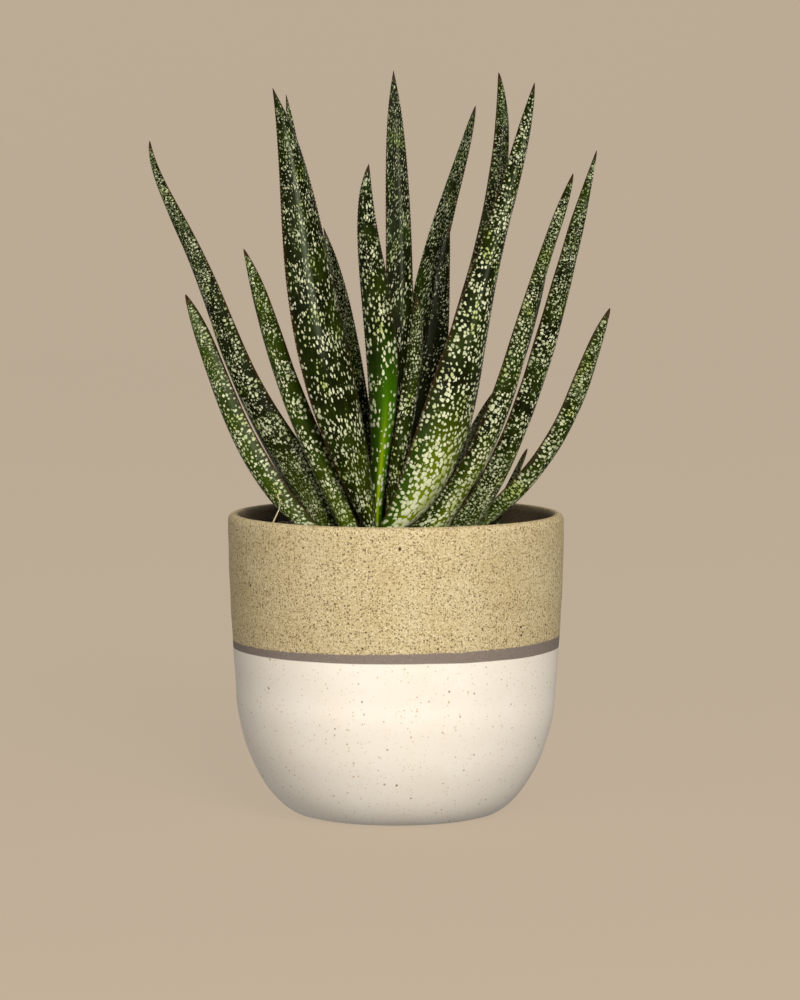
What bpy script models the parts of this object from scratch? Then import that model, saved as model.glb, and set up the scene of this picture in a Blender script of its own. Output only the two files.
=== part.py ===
"""A potted gasteria: a clump of long spotted leaves on a low crown, in soil, in a stoneware pot.

Run with blender --background --python part.py, or from Blender's text editor.
Metres, +Z up. The origin is the middle of the pot's flat foot, and the front is towards -Y.
"""

import math
from collections import namedtuple

import bmesh
import bpy
import numpy as np

MM = 0.001

# pot: a thrown U shape with a rounded lip and a small flat foot
POT_RADIUS = 70 * MM
POT_HEIGHT = 126 * MM
POT_SHOULDER_RADIUS = 66.6 * MM
POT_SHOULDER_HEIGHT = 52 * MM
POT_FOOT_RADIUS = 38 * MM
POT_BOWL_POWER = 1.74
BOWL_CROWDING = 0.8
WALL = 5.4 * MM
FLOOR = 8 * MM
POT_SEGMENTS = 48
BOWL_STEPS = 8
WALL_STEPS = 4
LIP_STEPS = 6

# the clearance that separate pieces keep
GAP = 0.3 * MM

# soil: its level at the middle, how much it falls towards +X, and its crumbly relief
SOIL_LEVEL = 117.5 * MM
SOIL_FALL = 2.2 * MM
SOIL_RELIEF = 0.7 * MM
SOIL_RINGS = 4

# the waves of that relief along X and Y, in radians a metre: short ripples on a longer swell
SOIL_RIPPLE = (310, 270)
SOIL_SWELL = (140, 190)
SOIL_SWELL_SHARE = 0.6

# crown: the short squat stem that all the leaves grow from, an oval seen from above
CROWN_HALF_LENGTH = 53 * MM
CROWN_HALF_DEPTH = 34 * MM
CROWN_MIDDLE_Y = 1 * MM
CROWN_TOP = 121 * MM
CROWN_DROP = 7 * MM
CROWN_BOTTOM = 96 * MM
CROWN_TAPER = 0.8
CROWN_RINGS = 5

# leaf: rings along it, crowded towards its tip, and how suddenly the tip closes
LEAF_RINGS = 15
TIP_CROWDING = 0.8
TIP_POWER = 10
TIP_HALF_WIDTH = 0.45 * MM

# how far up a leaf its cross-sections turn from lying on the crown to square to its path
SEAT_LENGTH = 18 * MM

# one leaf's cross-section, as shares of its half width and of its thickness:
# a keeled outer face, blunt margins and a channelled inner face
LEAF_SECTION = (
    (1.00, -0.22),
    (0.84, 0.10),
    (0.46, 0.42),
    (0.00, 0.60),
    (-0.46, 0.42),
    (-0.84, 0.10),
    (-1.00, -0.22),
    (-0.94, -0.38),
    (-0.42, -0.26),
    (0.00, -0.18),
    (0.42, -0.26),
    (0.94, -0.38),
)

# The leaves, from left to right and then those at the back, in millimetres and degrees.
# tip: height of the tip. x: five places along the leaf at even heights, root first.
# y: root, middle and tip. width: at the same five places as x, before the tip closes.
# thick: at the widest place. facing: where the outer face looks, 0 to the front and 90 to +X.
Leaf = namedtuple("Leaf", "name tip x y width thick facing")
LEAVES = (
    Leaf("leaf_01", 281, (-32, -46.5, -64, -76.5, -90.5, -101.5), (0, -6, -10),
         (16.5, 17, 13, 10, 7, 6), 7, -35),
    Leaf("leaf_02", 217, (-34.5, -55.5, -68.5, -78, -87.5), (-6, -1, 2), (6.5, 12, 11, 9.5, 5.5), 6.5, -45),
    Leaf("leaf_03", 237, (-19.5, -32, -44, -53.5, -62.5), (-13, -17, -24), (8.5, 11, 10.5, 9, 6), 6, -30),
    Leaf("leaf_04", 303, (-10, -22, -32.5, -39.5, -50), (-17, -34, -44), (3, 19, 21, 15.5, 8.5), 8.6, 18),
    Leaf("leaf_05", 244, (-13, -15, -19, -23.5, -30.5), (7, 17, 28), (13, 14, 12.5, 9, 5), 6, 165),
    Leaf("leaf_06", 272, (-8, -6, -6, -10.5, -11), (-7, -19, -28), (4.5, 9.5, 13, 10.5, 10), 6.6, 0),
    Leaf("leaf_07", 310, (0, 1, 1.5, 0.5, -1), (4, 6, 8), (9, 11, 11.2, 10, 8), 5.6, 180),
    Leaf("leaf_08", 218, (-1, 1, 4.5, 8, 8.5), (-14, -20, -24), (7, 7.4, 7.4, 7, 6), 4.2, 12),
    Leaf("leaf_09", 295, (4.5, 8, 11.5, 21.5, 33.5), (17, 25, 34), (10, 11.5, 12, 8.5, 9), 5.6, 155),
    Leaf("leaf_10", 246, (8.5, 10.5, 15.5, 19, 22.5), (6, 11, 18), (10, 11, 11, 8, 6.5), 5.2, 165),
    Leaf("leaf_11", 309, (13.5, 19, 31, 42, 42.5), (-9, -10, 0), (8.5, 13, 10, 9.5, 7.5), 6, 40),
    Leaf("leaf_12", 305, (-4, 17.5, 28, 37.5, 48, 56.5), (-23, -38, -34),
         (6.5, 22.5, 18.5, 11.5, 8.5, 7.5), 9, 22),
    Leaf("leaf_13", 268, (13, 33, 45.5, 54, 63, 72.5), (-16, -25, -30), (16, 11, 10.5, 8, 6.5, 7), 6.6, 32),
    Leaf("leaf_14", 277, (27.5, 49, 62.5, 73, 83), (-7, -11, -6), (14, 11.5, 11, 8.5, 3), 6.6, 42),
    Leaf("leaf_15", 212, (32, 56.5, 71, 80, 88.5), (4, -3, -12), (6.5, 9.5, 9.5, 8.5, 4.5), 5.6, 50),
    Leaf("leaf_16", 152, (41, 43, 47, 51, 55), (11, 11, 11), (6, 5, 4, 3, 2), 3.4, 110),
    Leaf("leaf_17", 175, (21, 24, 28, 34, 41), (4, 12, 20), (9, 9, 7.5, 5, 3), 5, 120),
    Leaf("leaf_18", 300, (-12, -24, -34.5, -41, -46), (-4, 8, 20), (10, 11, 10.5, 8, 6), 5.6, 190),
    Leaf("leaf_19", 262, (-16, -21, -28, -35, -41), (18, 36, 62), (12, 13, 11.5, 8.5, 5), 6.4, 200),
    Leaf("leaf_20", 250, (-3, -1, 1, 1.5, 1), (22, 40, 66), (11, 12, 11, 8, 5), 6.2, 180),
    Leaf("leaf_21", 258, (10, 20, 31, 38, 44), (26, 42, 62), (11, 12.5, 11, 8.5, 5), 6.4, 155),
    Leaf("leaf_22", 236, (24, 35, 47, 57, 65), (18, 30, 45), (10, 11, 10, 7.5, 5), 6, 130),
    Leaf("leaf_23", 222, (-28, -40, -57, -71.5, -82.5), (12, 22, 38), (10, 11, 10, 7.5, 5), 6, -125),
)


def clear_scene():
    """Remove whatever objects the file opened with."""
    for item in list(bpy.data.objects):
        bpy.data.objects.remove(item, do_unlink=True)


def make_material(name, colour, roughness, metallic=0.0):
    """A Principled BSDF with one linear colour, one roughness and one metallic value."""
    material = bpy.data.materials.new(name)
    material.use_nodes = True
    shader = material.node_tree.nodes["Principled BSDF"]
    shader.inputs["Base Color"].default_value = (*colour, 1.0)
    shader.inputs["Roughness"].default_value = roughness
    shader.inputs["Metallic"].default_value = metallic
    material.diffuse_color = (*colour, 1.0)
    return material


def loft(name, rings, first_pole, last_pole, material, sharp_angle=40):
    """Bridge closed rings of points in order, and close both ends with a fan to a pole."""
    mesh_work = bmesh.new()
    loops = [[mesh_work.verts.new(point) for point in ring] for ring in rings]
    count = len(loops[0])
    for lower, upper in zip(loops, loops[1:]):
        for i in range(count):
            j = (i + 1) % count
            mesh_work.faces.new((lower[i], lower[j], upper[j], upper[i]))
    for loop, pole in ((loops[0], first_pole), (loops[-1], last_pole)):
        tip = mesh_work.verts.new(pole)
        for i in range(count):
            mesh_work.faces.new((loop[i], loop[(i + 1) % count], tip))
    bmesh.ops.recalc_face_normals(mesh_work, faces=mesh_work.faces)
    bmesh.ops.triangulate(mesh_work, faces=mesh_work.faces)
    mesh = bpy.data.meshes.new(name)
    mesh_work.to_mesh(mesh)
    mesh_work.free()
    mesh.shade_smooth()
    mesh.set_sharp_from_angle(angle=math.radians(sharp_angle))
    mesh.materials.append(material)
    piece = bpy.data.objects.new(name, mesh)
    bpy.context.collection.objects.link(piece)
    return piece


def turned_ring(radius, height):
    """A circle of points about the pot's axis."""
    turns = np.linspace(0, 2 * math.pi, POT_SEGMENTS, endpoint=False)
    return np.column_stack((radius * np.cos(turns), radius * np.sin(turns), np.full_like(turns, height)))


def oval_ring(scale, height, grow=0.0):
    """An oval of points about the crown's axis; height is one number or one for each point."""
    turns = np.linspace(0, 2 * math.pi, POT_SEGMENTS, endpoint=False)
    x = (CROWN_HALF_LENGTH * scale + grow) * np.cos(turns)
    y = CROWN_MIDDLE_Y + (CROWN_HALF_DEPTH * scale + grow) * np.sin(turns)
    return np.column_stack((x, y, np.zeros_like(turns) + height))


def bowl_profile(inset):
    """The pot's outline from its foot to its shoulder: a superellipse, set in by the wall."""
    base = FLOOR if inset else 0.0
    foot = POT_FOOT_RADIUS - inset
    rise = POT_SHOULDER_HEIGHT - base
    reach = POT_SHOULDER_RADIUS - inset - foot
    drop = np.linspace(1, 0, BOWL_STEPS) ** BOWL_CROWDING
    radius = foot + reach * (1 - drop ** POT_BOWL_POWER) ** (1 / POT_BOWL_POWER)
    return list(zip(radius, base + rise * (1 - drop)))


def wall_radius(height, inset=0.0):
    """The radius above the shoulder, where the wall widens a little and ends upright."""
    share = (height - POT_SHOULDER_HEIGHT) / (POT_HEIGHT - POT_SHOULDER_HEIGHT)
    widening = (POT_RADIUS - POT_SHOULDER_RADIUS) * np.sin(share * math.pi / 2)
    return POT_SHOULDER_RADIUS + widening - inset


def wall_profile(top, inset=0.0):
    """Points of the wall above the shoulder, up to the given height."""
    heights = np.linspace(POT_SHOULDER_HEIGHT, top, WALL_STEPS + 1)[1:]
    return [(wall_radius(height, inset), height) for height in heights]


def build_pot(material):
    """The stoneware pot, turned from one closed profile."""
    lip = WALL / 2
    lip_height = POT_HEIGHT - lip
    outside = bowl_profile(0.0) + wall_profile(lip_height)
    arc = np.linspace(0, math.pi, LIP_STEPS + 1)[1:-1]
    lip_middle = wall_radius(lip_height) - lip
    over = [(lip_middle + lip * math.cos(turn), lip_height + lip * math.sin(turn)) for turn in arc]
    inside = (bowl_profile(WALL) + wall_profile(lip_height, WALL))[::-1]
    rings = [turned_ring(radius, height) for radius, height in outside + over + inside]
    return loft("pot", rings, (0, 0, 0), (0, 0, FLOOR), material)


def soil_height(x, y):
    """The soil's level at a point: a slight fall towards +X and low uneven crumbs."""
    ripple = np.sin(x * SOIL_RIPPLE[0] + 1.3) * np.cos(y * SOIL_RIPPLE[1] + 0.4)
    swell = np.sin(x * SOIL_SWELL[0] - y * SOIL_SWELL[1])
    return SOIL_LEVEL - SOIL_FALL * x / POT_RADIUS + SOIL_RELIEF * (ripple + SOIL_SWELL_SHARE * swell)


def build_soil(material):
    """The soil that fills the pot, with a plain oval hole that the crown stands in."""
    below = [(radius - GAP, height + GAP) for radius, height in bowl_profile(WALL)]
    edge_height = SOIL_LEVEL - SOIL_FALL - 2 * SOIL_RELIEF
    below += [(radius - GAP, height) for radius, height in wall_profile(edge_height, WALL)]
    rings = [turned_ring(radius, height) for radius, height in below]
    edge = turned_ring(wall_radius(SOIL_LEVEL, WALL) - GAP, 0)
    hole = oval_ring(1.0, 0, GAP)
    for share in np.linspace(0, 1, SOIL_RINGS + 1):
        ring = edge * (1 - share) + hole * share
        ring[:, 2] = soil_height(ring[:, 0], ring[:, 1])
        rings.append(ring)
    rings.append(oval_ring(1.0, CROWN_TOP - CROWN_DROP, GAP))
    hole_floor = CROWN_BOTTOM - GAP
    rings.append(oval_ring(CROWN_TAPER, hole_floor, GAP))
    return loft("soil", rings, (0, 0, FLOOR + GAP), (0, CROWN_MIDDLE_Y, hole_floor), material)


def crown_height(x, y):
    """The low dome on top of the crown, which the leaves sit on."""
    reach = (x / CROWN_HALF_LENGTH) ** 2 + ((y - CROWN_MIDDLE_Y) / CROWN_HALF_DEPTH) ** 2
    return CROWN_TOP - CROWN_DROP * reach


def build_crown(material):
    """The crown: a low oval dome above a tapering stump."""
    rings = [oval_ring(CROWN_TAPER, CROWN_BOTTOM)]
    for scale in np.linspace(1, 0, CROWN_RINGS, endpoint=False):
        rings.append(oval_ring(scale, CROWN_TOP - CROWN_DROP * scale ** 2))
    bottom = (0, CROWN_MIDDLE_Y, CROWN_BOTTOM)
    return loft("crown", rings, bottom, (0, CROWN_MIDDLE_Y, CROWN_TOP), material)


def smooth_through(values, along):
    """Read a smooth curve through evenly spaced values, by a polynomial through all of them."""
    places = np.linspace(0, 1, len(values))
    return np.polyval(np.polyfit(places, values, len(values) - 1), along)


def leaf_path(leaf, along):
    """Points along the middle of a leaf, from its seat on the crown to its tip."""
    x = smooth_through(leaf.x, along) * MM
    y = smooth_through(leaf.y, along) * MM
    root = crown_height(x[0], y[0]) + GAP
    return np.column_stack((x, y, root + (leaf.tip * MM - root) * along))


def leaf_rings(leaf):
    """Cross-sections square to the leaf's path, with the outer face turned to its side.

    Near the root each point slides along the path, so that the lowest section lies level."""
    along = np.linspace(0, 1, LEAF_RINGS + 1)[:-1] ** TIP_CROWDING
    path = leaf_path(leaf, along)
    tangent = np.gradient(path, along, axis=0)
    tangent /= np.linalg.norm(tangent, axis=1, keepdims=True)
    turn = math.radians(leaf.facing)
    facing = np.array((math.sin(turn), -math.cos(turn), 0.0))
    outward = facing - tangent * (tangent @ facing)[:, None]
    outward /= np.linalg.norm(outward, axis=1, keepdims=True)
    side = np.cross(tangent, outward)
    width = smooth_through(leaf.width, along) * (1 - along ** TIP_POWER)
    half_width = np.maximum(width * MM / 2, TIP_HALF_WIDTH)
    thick = leaf.thick * MM * np.sqrt(half_width / half_width.max())
    section = np.array(LEAF_SECTION)
    across = half_width[:, None, None] * section[None, :, 0, None] * side[:, None, :]
    depth = thick[:, None, None] * section[None, :, 1, None] * outward[:, None, :]
    offset = across + depth
    share = np.clip(np.linalg.norm(path - path[0], axis=1) / SEAT_LENGTH, 0, 1)
    level = 1 - share ** 2 * (3 - 2 * share)
    slide = -offset[:, :, 2] / tangent[:, None, 2] * level[:, None]
    return path[:, None, :] + offset + slide[:, :, None] * tangent[:, None, :]


def build_leaf(leaf, material):
    """One leaf, seated on the crown's dome with the small gap that touching pieces keep."""
    rings = leaf_rings(leaf)
    seat = rings[0]
    seat[:, 2] = crown_height(seat[:, 0], seat[:, 1]) + GAP
    middle = seat.mean(axis=0)
    root = (middle[0], middle[1], crown_height(middle[0], middle[1]) + GAP)
    tip = leaf_path(leaf, np.array([0.0, 1.0]))[1]
    return loft(leaf.name, list(rings), root, tip, material)


def main():
    """Build every piece of the plant and its pot."""
    clear_scene()
    stoneware = make_material("glazed_stoneware", (0.62, 0.54, 0.38), 0.45)
    potting_soil = make_material("potting_soil", (0.035, 0.022, 0.015), 0.95)
    crown_flesh = make_material("crown_flesh", (0.16, 0.17, 0.07), 0.7)
    leaf_flesh = make_material("leaf_flesh", (0.030, 0.060, 0.018), 0.4)
    build_pot(stoneware)
    build_soil(potting_soil)
    build_crown(crown_flesh)
    for leaf in LEAVES:
        build_leaf(leaf, leaf_flesh)


if __name__ == "__main__":
    main()
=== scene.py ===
import math
from collections import namedtuple
from functools import partial

import bpy
import numpy as np
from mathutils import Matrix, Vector


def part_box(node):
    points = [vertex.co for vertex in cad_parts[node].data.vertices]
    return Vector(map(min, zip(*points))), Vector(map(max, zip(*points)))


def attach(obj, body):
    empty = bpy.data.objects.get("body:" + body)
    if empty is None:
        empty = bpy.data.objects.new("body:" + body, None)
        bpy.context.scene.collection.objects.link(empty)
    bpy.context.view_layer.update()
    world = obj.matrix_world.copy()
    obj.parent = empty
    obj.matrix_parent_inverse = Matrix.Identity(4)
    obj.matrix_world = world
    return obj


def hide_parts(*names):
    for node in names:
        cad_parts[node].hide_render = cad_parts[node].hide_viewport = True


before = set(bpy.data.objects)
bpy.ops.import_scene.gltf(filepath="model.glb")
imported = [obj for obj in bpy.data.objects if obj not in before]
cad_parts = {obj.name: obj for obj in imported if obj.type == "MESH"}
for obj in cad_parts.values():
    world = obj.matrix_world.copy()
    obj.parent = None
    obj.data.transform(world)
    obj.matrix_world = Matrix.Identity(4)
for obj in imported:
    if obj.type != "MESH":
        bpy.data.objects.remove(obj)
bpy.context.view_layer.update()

bl_info = {
    "name": "Potted gasteria",
    "version": (1, 0, 0),
    "blender": (4, 5, 0),
    "location": "View3D > Sidebar > Gasteria",
    "description": "Dresses a potted gasteria: spotted leaves, crown, soil and a speckled stoneware pot",
    "category": "Add Mesh",
}

MM = 0.001

# the pot's turned shape, as its solid has it
POT_LOW, POT_HIGH = (Vector(corner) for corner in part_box("pot"))
POT_HEIGHT = POT_HIGH.z
POT_RADIUS = POT_HIGH.x
SHOULDER_RADIUS = 66.6 * MM
SHOULDER_HEIGHT = 52 * MM
FOOT_RADIUS = 38 * MM
BOWL_POWER = 1.74
WALL = 5.4 * MM
FLOOR = 8 * MM
GAP = 0.3 * MM

# the crown's oval dome, which the leaves sit on
CROWN_HALF_LENGTH = 53 * MM
CROWN_HALF_DEPTH = 34 * MM
CROWN_MIDDLE_Y = 1 * MM
CROWN_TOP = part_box("crown")[1][2]
CROWN_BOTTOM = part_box("crown")[0][2]
CROWN_DROP = 7 * MM
CROWN_TAPER = 0.8

# the leaves in millimetres and degrees, as the solids have them: height of the tip; x at five
# even heights, root first; y at root, middle and tip; width at the places of x; thickness;
# where the outer face looks, 0 to the front and 90 to +X
Leaf = namedtuple("Leaf", "name tip x y width thick facing")
LEAVES = (
    Leaf("leaf_01", 281, (-32, -46.5, -64, -76.5, -90.5, -101.5), (0, -6, -10),
         (16.5, 17, 13, 10, 7, 6), 7, -35),
    Leaf("leaf_02", 217, (-34.5, -55.5, -68.5, -78, -87.5), (-6, -1, 2), (6.5, 12, 11, 9.5, 5.5), 6.5, -45),
    Leaf("leaf_03", 237, (-19.5, -32, -44, -53.5, -62.5), (-13, -17, -24), (8.5, 11, 10.5, 9, 6), 6, -30),
    Leaf("leaf_04", 303, (-10, -22, -32.5, -39.5, -50), (-17, -34, -44), (3, 19, 21, 15.5, 8.5), 8.6, 18),
    Leaf("leaf_05", 244, (-13, -15, -19, -23.5, -30.5), (7, 17, 28), (13, 14, 12.5, 9, 5), 6, 165),
    Leaf("leaf_06", 272, (-8, -6, -6, -10.5, -11), (-7, -19, -28), (4.5, 9.5, 13, 10.5, 10), 6.6, 0),
    Leaf("leaf_07", 310, (0, 1, 1.5, 0.5, -1), (4, 6, 8), (9, 11, 11.2, 10, 8), 5.6, 180),
    Leaf("leaf_08", 218, (-1, 1, 4.5, 8, 8.5), (-14, -20, -24), (7, 7.4, 7.4, 7, 6), 4.2, 12),
    Leaf("leaf_09", 295, (4.5, 8, 11.5, 21.5, 33.5), (17, 25, 34), (10, 11.5, 12, 8.5, 9), 5.6, 155),
    Leaf("leaf_10", 246, (8.5, 10.5, 15.5, 19, 22.5), (6, 11, 18), (10, 11, 11, 8, 6.5), 5.2, 165),
    Leaf("leaf_11", 309, (13.5, 19, 31, 42, 42.5), (-9, -10, 0), (8.5, 13, 10, 9.5, 7.5), 6, 40),
    Leaf("leaf_12", 305, (-4, 17.5, 28, 37.5, 48, 56.5), (-23, -38, -34),
         (6.5, 22.5, 18.5, 11.5, 8.5, 7.5), 9, 22),
    Leaf("leaf_13", 268, (13, 33, 45.5, 54, 63, 72.5), (-16, -25, -30), (16, 11, 10.5, 8, 6.5, 7), 6.6, 32),
    Leaf("leaf_14", 277, (27.5, 49, 62.5, 73, 83), (-7, -11, -6), (14, 11.5, 11, 8.5, 3), 6.6, 42),
    Leaf("leaf_15", 212, (32, 56.5, 71, 80, 88.5), (4, -3, -12), (6.5, 9.5, 9.5, 8.5, 4.5), 5.6, 50),
    Leaf("leaf_16", 152, (41, 43, 47, 51, 55), (11, 11, 11), (6, 5, 4, 3, 2), 3.4, 110),
    Leaf("leaf_17", 175, (21, 24, 28, 34, 41), (4, 12, 20), (9, 9, 7.5, 5, 3), 5, 120),
    Leaf("leaf_18", 300, (-12, -24, -34.5, -41, -46), (-4, 8, 20), (10, 11, 10.5, 8, 6), 5.6, 190),
    Leaf("leaf_19", 262, (-16, -21, -28, -35, -41), (18, 36, 62), (12, 13, 11.5, 8.5, 5), 6.4, 200),
    Leaf("leaf_20", 250, (-3, -1, 1, 1.5, 1), (22, 40, 66), (11, 12, 11, 8, 5), 6.2, 180),
    Leaf("leaf_21", 258, (10, 20, 31, 38, 44), (26, 42, 62), (11, 12.5, 11, 8.5, 5), 6.4, 155),
    Leaf("leaf_22", 236, (24, 35, 47, 57, 65), (18, 30, 45), (10, 11, 10, 7.5, 5), 6, 130),
    Leaf("leaf_23", 222, (-28, -40, -57, -71.5, -82.5), (12, 22, 38), (10, 11, 10, 7.5, 5), 6, -125),
)
TIP_POWER = 10
TIP_HALF_WIDTH = 0.35 * MM
SEAT_LENGTH = 18 * MM

# one leaf's cross-section, in shares of its thickness: its margins, keel and channelled inner face
MARGIN_DEPTH = -0.22
KEEL_DEPTH = 0.60
CHANNEL_DEPTH = -0.18
SHOULDER_DEPTH = -0.39
KEEL_POWER = 2.3
CHANNEL_POWER = 1.5
MARGIN_POWER = 30

# a leaf's markings. pitch: distance of the spots across the leaf in millimetres; stretch: how
# much longer they are along it; crowd: the share of them that shows; swell: their size;
# fresh: from the dark of an old leaf to a young one's green; dull: how grey its spots are;
# young: a flush of bright green low on the leaf, partly its own green and partly painted glow of
# light shining through it; pale: how far the spots merge at its base; bloom: how strongly
# a painted sheen, a grey highlight streak, shows beside its middle
Skin = namedtuple("Skin", "pitch stretch crowd swell fresh dull young pale bloom", defaults=(0,))
PLAIN_SKIN = Skin(1.25, 1.7, 0.70, 0.25, 0.10, 0.25, 0, 0.05)
SKINS = {
    "leaf_01": Skin(1.30, 1.4, 0.60, 0.28, 0.04, 0.42, 0, 0.1),
    "leaf_02": Skin(1.35, 1.5, 0.72, 0.27, 0.46, 0.14, 0, 0.1),
    "leaf_03": Skin(1.30, 1.7, 0.72, 0.28, 0.44, 0.20, 0, 0.1),
    "leaf_04": Skin(1.35, 2.3, 0.72, 0.24, 0.08, 0.10, 0, 0.1, 0.8),
    "leaf_05": Skin(1.20, 1.8, 0.56, 0.24, 0.10, 0.35, 0, 0.0),
    "leaf_06": Skin(1.55, 2.0, 0.66, 0.28, 0.08, 0.00, 1.0, 0.0),
    "leaf_07": Skin(1.25, 2.8, 0.38, 0.22, 0.06, 0.28, 0, 0.0, 0.5),
    "leaf_08": Skin(1.30, 1.6, 0.78, 0.28, 0.20, 0.15, 0, 0.1),
    "leaf_09": Skin(1.15, 2.4, 0.46, 0.23, 0.06, 0.34, 0, 0.0),
    "leaf_10": Skin(1.25, 2.0, 0.26, 0.22, 0.00, 0.00, 0, 0.0),
    "leaf_11": Skin(1.30, 1.7, 0.62, 0.23, 0.12, 0.30, 0, 0.0),
    "leaf_12": Skin(1.50, 1.5, 0.92, 0.28, 0.14, 0.05, 0.35, 1.0, 0.3),
    "leaf_13": Skin(1.40, 1.4, 0.90, 0.28, 0.20, 0.34, 0, 0.5),
    "leaf_14": Skin(1.30, 1.4, 0.80, 0.28, 0.10, 0.36, 0, 0.1),
    "leaf_15": Skin(1.25, 1.5, 0.88, 0.31, 0.26, 0.45, 0, 0.1),
    "leaf_16": Skin(1.20, 1.4, 0.30, 0.20, 0.00, 0.40, 0, 0.0),
}

# how fine the new surfaces are
LEAF_RING_STEP = 0.36 * MM
LEAF_AROUND = 32
TOOTH_RINGS = 4
POT_AROUND = 288
SOIL_AROUND = 220

# layers of specks in a glaze: cell size in millimetres, share of the cells that hold one,
# radius and softness as shares of the cell, colour, and how strongly it covers
SAND_GRAINS = (
    (0.60, 0.55, 0.46, 0.14, "#F0E5C6", 0.80),
    (0.80, 0.75, 0.44, 0.13, "#94804D", 0.76),
    (0.95, 0.60, 0.38, 0.11, "#725625", 0.84),
    (1.40, 0.36, 0.29, 0.08, "#4C3316", 0.86),
    (5.00, 0.40, 0.12, 0.03, "#2E1B0C", 0.92),
)
BAND_GRAINS = (
    (0.80, 0.50, 0.42, 0.16, "#6E6259", 0.6),
    (1.20, 0.30, 0.34, 0.12, "#A3968B", 0.5),
)
CREAM_GRAINS = (
    (1.10, 0.40, 0.24, 0.10, "#DCC9A2", 0.55),
    (1.60, 0.40, 0.22, 0.08, "#CDB68A", 0.65),
    (2.60, 0.40, 0.15, 0.05, "#B29462", 0.72),
    (5.20, 0.40, 0.10, 0.03, "#7C5C36", 0.80),
)

# the photograph's view: size in pixels, focal length in pixels, camera place, and a point ahead
PHOTO_HEIGHT = 1000
FOCAL_PIXELS = 5110
SENSOR = 36.0
CAMERA_PLACE = Vector((0.0017, -2.123, 0.317))
CAMERA_TARGET = Vector((0.0017, 0.0, 0.1313))

# the key softbox right of the camera, the fill low in front, and the point that they light
KEY_PLACE = Vector((0.52, -1.95, 1.05))
FILL_PLACE = Vector((-1.5, -1.7, 0.12))
LIT_PLACE = Vector((0.0, 0.0, 0.16))


def linear(hex_colour):
    """An sRGB hex value as three linear numbers."""
    channels = [int(hex_colour[i:i + 2], 16) / 255 for i in (1, 3, 5)]
    return tuple(c / 12.92 if c <= 0.04045 else ((c + 0.055) / 1.055) ** 2.4 for c in channels)


def colour_setting(name, description, hex_colour):
    """A colour that a user can change, given as sRGB hex."""
    return bpy.props.FloatVectorProperty(
        name=name, description=description, default=linear(hex_colour), size=3, subtype="COLOR", min=0, max=1)


def length_setting(name, description, millimetres):
    """A length that a user can change, given in millimetres."""
    return bpy.props.FloatProperty(
        name=name, description=description, default=millimetres * MM, min=0, unit="LENGTH", precision=4)


class LeafSettings(bpy.types.PropertyGroup):
    """Sizes and colours of the leaves."""
    tooth: length_setting("Tooth", "Height of the small horny teeth along the margins", 0.22)
    ripple: length_setting("Ripple", "How far the leaf's faces wave along their length", 0.14)
    dark: colour_setting("Dark green", "Old leaf between its spots", "#101500")
    fresh: colour_setting("Fresh green", "Patches of an old leaf and its base", "#3E5409")
    # young and lime greens: partly the leaf's own colour, partly painted glow of light shining through it
    young: colour_setting("Young green", "The flush of a young leaf", "#427503")
    lime: colour_setting("Lime green", "The keel at the foot of a young leaf", "#A9C010")
    spot: colour_setting("Spot", "The raised pale spots", "#E2E8C2")
    dull_spot: colour_setting("Dull spot", "Spots that the green shows through", "#929F74")
    warm_spot: colour_setting("Warm spot", "Yellow-green spots, most on fresh patches", "#B2C268")
    # painted sheen: a grey streak beside a leaf's middle, painted in place of the light's highlight on its keel
    bloom: colour_setting("Bloom", "Grey wax beside a leaf's middle", "#66705C")
    # the margin colour: dark brown laid over the leaf's outer margins
    margin: colour_setting("Margin", "The horny brown margin", "#35240F")
    tip: colour_setting("Dry tip", "The horny point of a leaf", "#3C2917")


class PotSettings(bpy.types.PropertyGroup):
    """Sizes and colours of the stoneware pot."""
    throwing: length_setting("Throwing marks", "How far the thrown wall is out of true", 0.12)
    band_height: length_setting("Band height", "Lower edge of the dark band above the foot", 70.3)
    band_width: length_setting("Band width", "Width of the dark band at the front", 3.9)
    sand: colour_setting("Sand glaze", "The speckled upper glaze", "#D2C39A")
    band: colour_setting("Band", "The dark band between the glazes", "#877B73")
    cream: colour_setting("Cream glaze", "The satin lower glaze", "#FAF5EC")
    # painted shade: the colour that darkens the wall inside the pot above the soil
    inner_shade_colour: colour_setting("Stain", "The wall above the soil, darkened by watering", "#3A2A17")


class SoilSettings(bpy.types.PropertyGroup):
    """Sizes and colours of the soil and what lies on it."""
    level: length_setting("Level", "Height of the soil at the middle", 117.5)
    fall: length_setting("Fall", "How much lower the soil lies towards +X", 2.2)
    relief: length_setting("Relief", "Height of its uneven surface", 0.7)
    crumb: length_setting("Crumb", "Radius of the largest crumbs", 1.9)
    peat: colour_setting("Peat", "Moist peat and bark", "#2B1D14")
    grit: colour_setting("Perlite", "Pale grains of perlite", "#DCD5C6")
    fibre: colour_setting("Fibre", "Dry root fibre", "#E6D9B8")


class StageSettings(bpy.types.PropertyGroup):
    """The studio round the plant."""
    backdrop: colour_setting("Backdrop", "Plain pale floor and wall", "#C0AF99")
    glow: bpy.props.FloatProperty(
        name="Glow", description="Share of the backdrop's tone that the lights don't change", default=0.90,
        min=0, max=1)
    key_power: bpy.props.FloatProperty(
        name="Key light", description="Power of the main softbox", default=44, min=0, unit="POWER")
    fill_power: bpy.props.FloatProperty(
        name="Fill light", description="Power of the low front fill", default=12, min=0, unit="POWER")
    air: bpy.props.FloatProperty(
        name="Air", description="Strength of the even light from all sides", default=0.27, min=0)


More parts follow.
